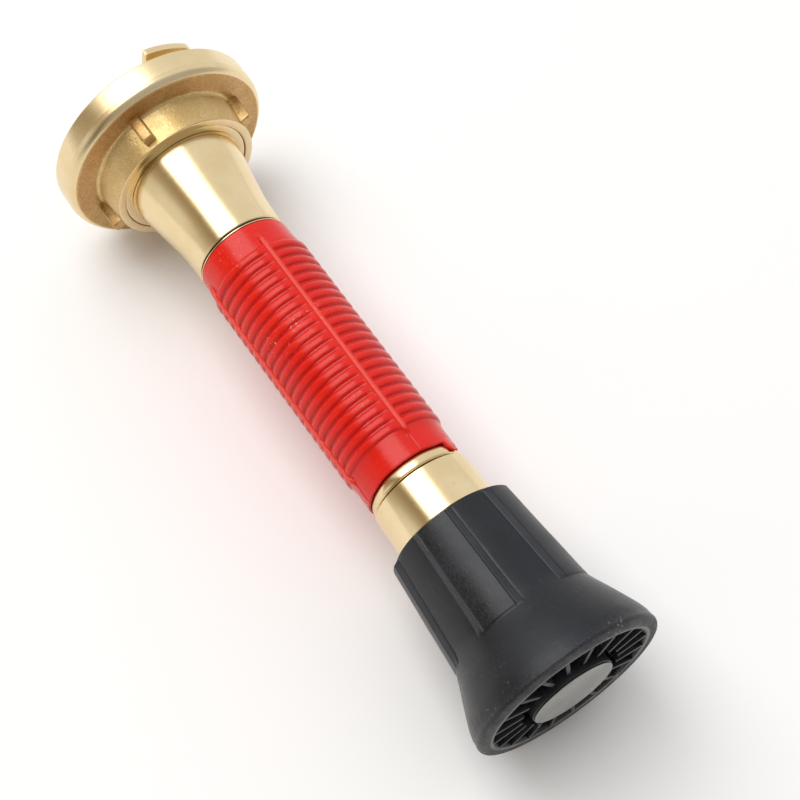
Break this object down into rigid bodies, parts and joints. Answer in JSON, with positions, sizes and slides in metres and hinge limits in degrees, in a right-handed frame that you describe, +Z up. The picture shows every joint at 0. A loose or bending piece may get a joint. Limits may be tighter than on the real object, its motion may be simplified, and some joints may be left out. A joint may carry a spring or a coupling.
{
  "type": "fire hose nozzle",
  "caption": "Hand-held branchpipe with a swivelling claw coupling, a ribbed grip and a twist head with a flared rubber bumper, fog teeth and a central baffle.",
  "frame": {"origin": "on the ground plane, under the middle of the nozzle's length", "axes": "+X along the nozzle's axis from the coupling to the head, +Z up"},
  "size_m": [0.3272, 0.098, 0.098],
  "materials": {
    "machined_brass": "turned, satin to bright",
    "cast_brass": "sand cast, machined on the rim",
    "red_rubber": "satin moulded rubber",
    "black_rubber": "satin moulded rubber, lightly scuffed",
    "black_plastic": "smooth moulded plastic",
    "steel": "satin"
  },
  "bodies": {
    "nozzle": {"coupling_gasket": "black_rubber", "coupling_tail": "machined_brass", "slide_washer": "black_plastic", "retaining_ring": "machined_brass", "tail_seal": "black_rubber", "nozzle_tube": "machined_brass", "grip_sleeve": "red_rubber", "cam_body": "machined_brass", "head_seal_1": "black_rubber", "head_seal_2": "black_rubber", "spider": "machined_brass", "stem": "machined_brass", "stem_nut": "machined_brass", "baffle": "black_plastic", "baffle_seal": "black_rubber", "baffle_disc": "steel"},
    "coupling": {"coupling_ring": "cast_brass"},
    "slider": {"wiper_ring": "black_rubber"},
    "head": {"barrel": "machined_brass", "guide_pin_1": "steel", "guide_pin_2": "steel", "bumper": "black_rubber"}
  },
  "joints": [
    {"name": "coupling_swivel", "type": "hinge", "parent": "nozzle", "child": "coupling", "pos_m": [-0.1516, 0, 0.049], "axis": [1, 0, 0], "continuous": true},
    {"name": "head_slide", "type": "slide", "parent": "nozzle", "child": "slider", "axis": [1, 0, 0], "range_m": [0, 0.014]},
    {"name": "head_turn", "type": "hinge", "parent": "slider", "child": "head", "pos_m": [0.0899, 0, 0.049], "axis": [1, 0, 0], "range_deg": [0, 270]}
  ],
  "couplings": [
    {"joint": "head_slide", "follows": "head_turn", "m_per_rad": 0.0029708}
  ]
}
